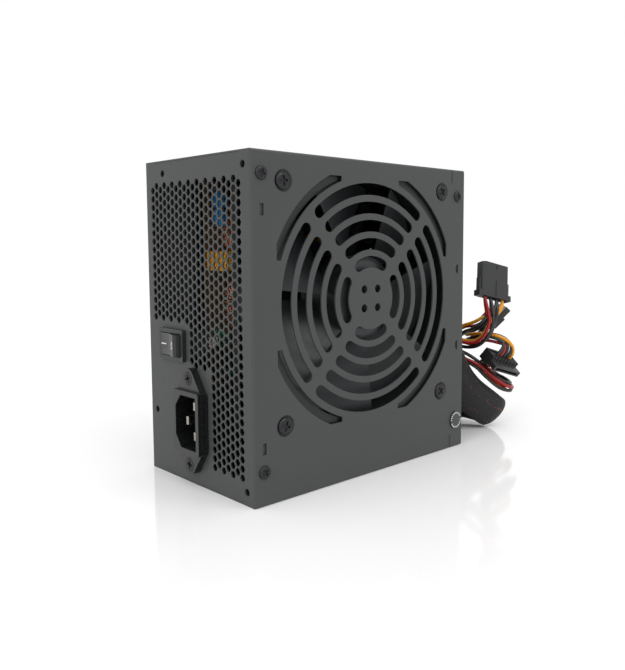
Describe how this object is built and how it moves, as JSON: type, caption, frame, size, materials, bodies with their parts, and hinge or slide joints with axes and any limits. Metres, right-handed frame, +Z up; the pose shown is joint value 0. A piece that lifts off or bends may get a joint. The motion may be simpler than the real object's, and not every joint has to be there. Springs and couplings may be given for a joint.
{
  "type": "power supply unit",
  "caption": "Desktop computer power supply in a folded steel casing with a round fan grill, honeycomb vents, rocker switch, mains inlet and a tied bundle of output cables.",
  "frame": {"origin": "middle of the casing's lower side, on the surface it stands on", "axes": "+X from the rear panel to the cable panel, +Y from the fan face to the board floor, +Z up along the casing's longest side"},
  "size_m": [0.2141, 0.1273, 0.15],
  "materials": {
    "powder_coated_steel": "matt dark grey powder coat, fine texture",
    "blackened_screws": "black oxide steel",
    "seal_paper": "matt printed seal",
    "fan_plastic": "moulded PBT, satin",
    "sintered_bronze": "oiled sintered bronze",
    "steel_laminations": "stamped steel",
    "ferrite": "pressed ferrite",
    "bright_steel": "bright steel",
    "wire_pvc": "soft PVC insulation in red, yellow, orange and black",
    "switch_plastic": "moulded nylon, satin",
    "inlet_plastic": "moulded thermoset, satin",
    "tinned_brass": "nickel plated brass",
    "board_laminate": "paper phenolic board",
    "insulation_film": "polyester film",
    "brass_hardware": "nickel plated brass",
    "choke_core_green": "coated ferrite ring",
    "copper_wire": "enamelled copper wire",
    "capacitor_yellow": "moulded box, satin yellow",
    "capacitor_blue": "dipped epoxy",
    "fuse_ceramic": "ceramic tube and nickel caps",
    "dipped_epoxy_dark": "dipped epoxy disc",
    "package_epoxy": "moulded epoxy with tinned leads",
    "capacitor_sleeve": "shrunk sleeve with bare aluminium top",
    "mill_aluminium": "extruded, mill finish",
    "transformer_tape": "polyester tape over windings",
    "choke_core_yellow": "painted iron powder ring",
    "grommet_nylon": "moulded nylon",
    "braided_sleeve": "black braided polyester sleeve over coloured wires",
    "connector_nylon": "moulded nylon, satin",
    "tie_nylon": "moulded nylon"
  },
  "bodies": {
    "casing": {"base_shell": "powder_coated_steel", "cover_shell": "powder_coated_steel", "cover_screws": "blackened_screws", "seal_label": "seal_paper", "fan_frame": "fan_plastic", "fan_bearing": "sintered_bronze", "fan_stator": "steel_laminations", "fan_screws": "blackened_screws", "fan_lead": "wire_pvc", "switch_housing": "switch_plastic", "switch_terminals": "tinned_brass", "inlet_housing": "inlet_plastic", "inlet_pins": "tinned_brass", "inlet_screws": "blackened_screws", "mains_leads": "wire_pvc", "circuit_board": "board_laminate", "insulating_sheet": "insulation_film", "board_standoffs": "brass_hardware", "board_screws": "bright_steel", "filter_choke_cores": "choke_core_green", "filter_choke_windings": "copper_wire", "x_capacitor": "capacitor_yellow", "y_capacitors": "capacitor_blue", "fuse": "fuse_ceramic", "thermistor": "dipped_epoxy_dark", "bridge_rectifier": "package_epoxy", "bulk_capacitors": "capacitor_sleeve", "primary_heatsink": "mill_aluminium", "power_transistors": "package_epoxy", "transformer_core": "ferrite", "transformer_winding": "transformer_tape", "standby_transformer": "transformer_tape", "secondary_heatsink": "mill_aluminium", "output_rectifiers": "package_epoxy", "device_screws": "bright_steel", "output_choke_core": "choke_core_yellow", "output_choke_winding": "copper_wire", "output_capacitors": "capacitor_sleeve", "control_chips": "package_epoxy", "output_leads": "wire_pvc", "exit_grommet": "grommet_nylon", "main_cable": "braided_sleeve", "main_hank": "braided_sleeve", "main_connector": "connector_nylon", "cpu_cable": "braided_sleeve", "cpu_hank": "braided_sleeve", "cpu_connector": "connector_nylon", "sata_cable": "wire_pvc", "sata_hank": "wire_pvc", "sata_connectors": "connector_nylon", "molex_cable": "wire_pvc", "molex_hank": "wire_pvc", "molex_connectors": "connector_nylon", "cable_tie": "tie_nylon"},
    "rotor": {"fan_rotor": "fan_plastic", "fan_magnet": "ferrite", "fan_shaft": "bright_steel"},
    "rocker": {"rocker": "switch_plastic"}
  },
  "joints": [
    {"name": "fan_spin", "type": "hinge", "parent": "casing", "child": "rotor", "pos_m": [-0.001, -0.03, 0.0853], "axis": [0, 1, 0], "continuous": true},
    {"name": "rocker_tilt", "type": "hinge", "parent": "casing", "child": "rocker", "pos_m": [-0.0686, 0.0198, 0.064], "axis": [0, 0, 1], "range_deg": [0, 20]}
  ]
}
